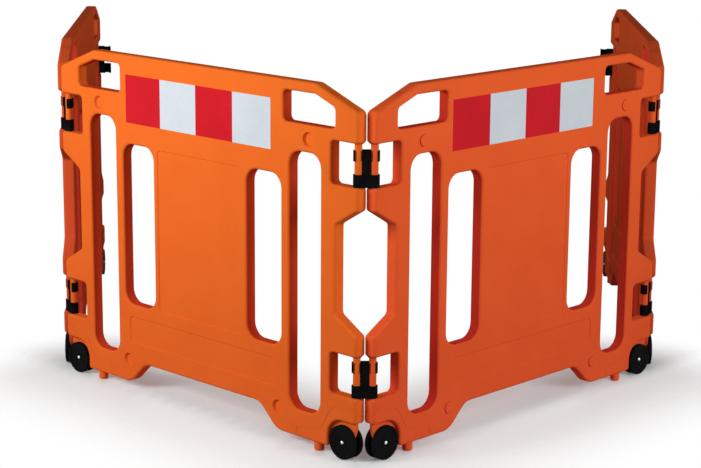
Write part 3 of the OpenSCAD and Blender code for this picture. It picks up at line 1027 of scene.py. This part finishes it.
def place_links():
    """Two links at each corner, and a spare one in the upper notch at each free end."""
    mesh = link_mesh()
    for key, neighbours in LINK_ENDS.items():
        body = "links_" + key
        matrix = heading_matrix(*[hinge_point(body, panel) for panel in neighbours])
        for level_name, notch in (("upper", UPPER_NOTCH), ("lower", LOWER_NOTCH)):
            node = f"link_{key}_{level_name}"
            put("moulded_" + node, mesh, matrix @ link_lift(notch), body, BLACK_LINK,
                node)
    spares = {
        "spare_link_a": (mount_point("spare_ring_a"), hinge_point("panel_a", "spare_link_a")),
        "spare_link_d": (hinge_point("panel_d", "spare_link_d"), mount_point("spare_ring_d")),
    }
    for node, ends in spares.items():
        put("moulded_" + node, mesh, heading_matrix(*ends) @ link_lift(UPPER_NOTCH), node, BLACK_LINK,
            node)


def paint_nodes(prefix, material):
    """Gives a finish to the CAD nodes that are shown as they are."""
    for name, node in frame["nodes"].items():
        if name.startswith(prefix):
            node.data.materials.clear()
            node.data.materials.append(material)


# Stage, light and camera

def floor_material():
    """Pale matt floor that fades into the white background away from the barrier."""
    material, tree, shader = new_material("pale_floor")
    coordinates = add_node(tree, "ShaderNodeTexCoord")
    cloud = noise(tree, coordinates.outputs["Object"], scale=1.5, detail=2.0)
    colour = ramp(tree, cloud, (0.3, FLOOR_DARK), (0.7, FLOOR_LIGHT))
    tree.links.new(colour, shader.inputs["Base Color"])
    shader.inputs["Roughness"].default_value = FLOOR_ROUGHNESS
    shader.inputs["Specular IOR Level"].default_value = FLOOR_GLOSS
    fade = add_node(tree, "ShaderNodeAttribute", attribute_name=FADE)
    clear = add_node(tree, "ShaderNodeBsdfTransparent")
    mix_shaders(tree, fade.outputs["Fac"], shader.outputs["BSDF"], clear.outputs["BSDF"], "Material Output")
    return material


def distance_to_run(point, start, end):
    """Flat distance from a point to a straight run, counted longer beyond the run's ends."""
    run = (end - start).normalized()
    along = (point - start).dot(run)
    beyond = max(0.0, -along, along - (end - start).length)
    return math.hypot(run.cross(point - start), beyond * END_STRETCH)


def soft_share(value, low, high):
    """0 up to the low value, 1 from the high value on, with a soft rise between them."""
    return soft_rise(max(0.0, min(1.0, (value - low) / (high - low))))


def floor_fade(point, runs):
    """How far the floor has faded at a point: later behind the front panels than before them."""
    start, end = min(runs, key=lambda run: distance_to_run(point, *run))
    away = distance_to_run(point, start, end)
    before = FADE_BASE + (1 - FADE_BASE) * soft_share(away, *FADE_BEFORE)
    behind = soft_share(away, *FADE_BEHIND)
    side = (end - start).normalized().cross(point - start)
    return before + (behind - before) * soft_share(side, *SIDE_BLEND)


def make_floor():
    """A gridded floor whose points hold how far the floor has faded there."""
    runs = [[post.to_2d() for post in panel_posts(key)] for key in FRONT_PANELS]
    points = []
    fades = []
    for j in range(FLOOR_CELLS + 1):
        for i in range(FLOOR_CELLS + 1):
            point = Vector((2 * i / FLOOR_CELLS - 1, 2 * j / FLOOR_CELLS - 1)) * FLOOR_REACH
            points.append((point.x, point.y, 0))
            fades.append(floor_fade(point, runs))
    row = FLOOR_CELLS + 1
    faces = [(j * row + i, j * row + i + 1, (j + 1) * row + i + 1, (j + 1) * row + i)
             for j in range(FLOOR_CELLS) for i in range(FLOOR_CELLS)]
    mesh = bpy.data.meshes.new("floor")
    mesh.from_pydata(points, [], faces)
    mesh.attributes.new(FADE, "FLOAT", "POINT").data.foreach_set("value", fades)
    mesh.materials.append(floor_material())
    floor = bpy.data.objects.new("floor", mesh)
    bpy.context.scene.collection.objects.link(floor)


def make_world():
    """White to the camera and in reflections, a dim even room to everything else."""
    world = bpy.data.worlds.new("studio")
    bpy.context.scene.world = world
    world.use_nodes = True
    tree = world.node_tree
    shown = tree.nodes["Background"]
    shown.inputs["Color"].default_value = grey(1.0)
    room = add_node(tree, "ShaderNodeBackground", Color=grey(1.0), Strength=ROOM_LIGHT)
    path = add_node(tree, "ShaderNodeLightPath")
    white = path.outputs["Is Camera Ray"]
    for ray in ("Is Glossy Ray", "Is Transmission Ray"):
        white = calculate(tree, "MAXIMUM", white, path.outputs[ray])
    mix_shaders(tree, white, room.outputs["Background"], shown.outputs["Background"], "World Output")


def add_softbox(name, place, target, size, power):
    """A rectangular lamp that looks at its target."""
    light = bpy.data.lights.new(name, "AREA")
    light.shape = "RECTANGLE"
    light.size, light.size_y = size
    light.energy = power
    lamp = bpy.data.objects.new(name, light)
    lamp.location = place
    lamp.rotation_euler = (Vector(target) - Vector(place)).to_track_quat("-Z", "Y").to_euler()
    bpy.context.scene.collection.objects.link(lamp)


def make_camera():
    """The camera at the photo's viewing angle."""
    camera = bpy.data.cameras.new("camera")
    camera.sensor_width = SENSOR_MM
    camera.sensor_fit = "HORIZONTAL"
    camera.lens = LENS_PX * SENSOR_MM / IMAGE_W
    level_side = Vector((math.cos(YAW), math.sin(YAW), 0))
    level_ahead = Vector((-math.sin(YAW), math.cos(YAW), 0))
    ahead = level_ahead * math.cos(PITCH) + Vector((0, 0, math.sin(PITCH)))
    above = level_ahead * -math.sin(PITCH) + Vector((0, 0, math.cos(PITCH)))
    right = level_side * math.cos(ROLL) + above * math.sin(ROLL)
    up = above * math.cos(ROLL) - level_side * math.sin(ROLL)
    rotation = Matrix((right, up, -ahead)).transposed().to_4x4()
    seat = bpy.data.objects.new("camera", camera)
    seat.matrix_world = Matrix.Translation(CAMERA_AT) @ rotation
    bpy.context.scene.collection.objects.link(seat)
    bpy.context.scene.camera = seat


place_panels()
place_wheels()
place_caps()
place_links()
paint_nodes("red_sheets", RED)
paint_nodes("white_sheets", WHITE)
paint_nodes("axles", ZINC)
make_floor()
make_world()
for name, settings in SOFTBOXES.items():
    add_softbox(name, *settings)
make_camera()
bpy.context.scene.view_settings.view_transform = "Standard"
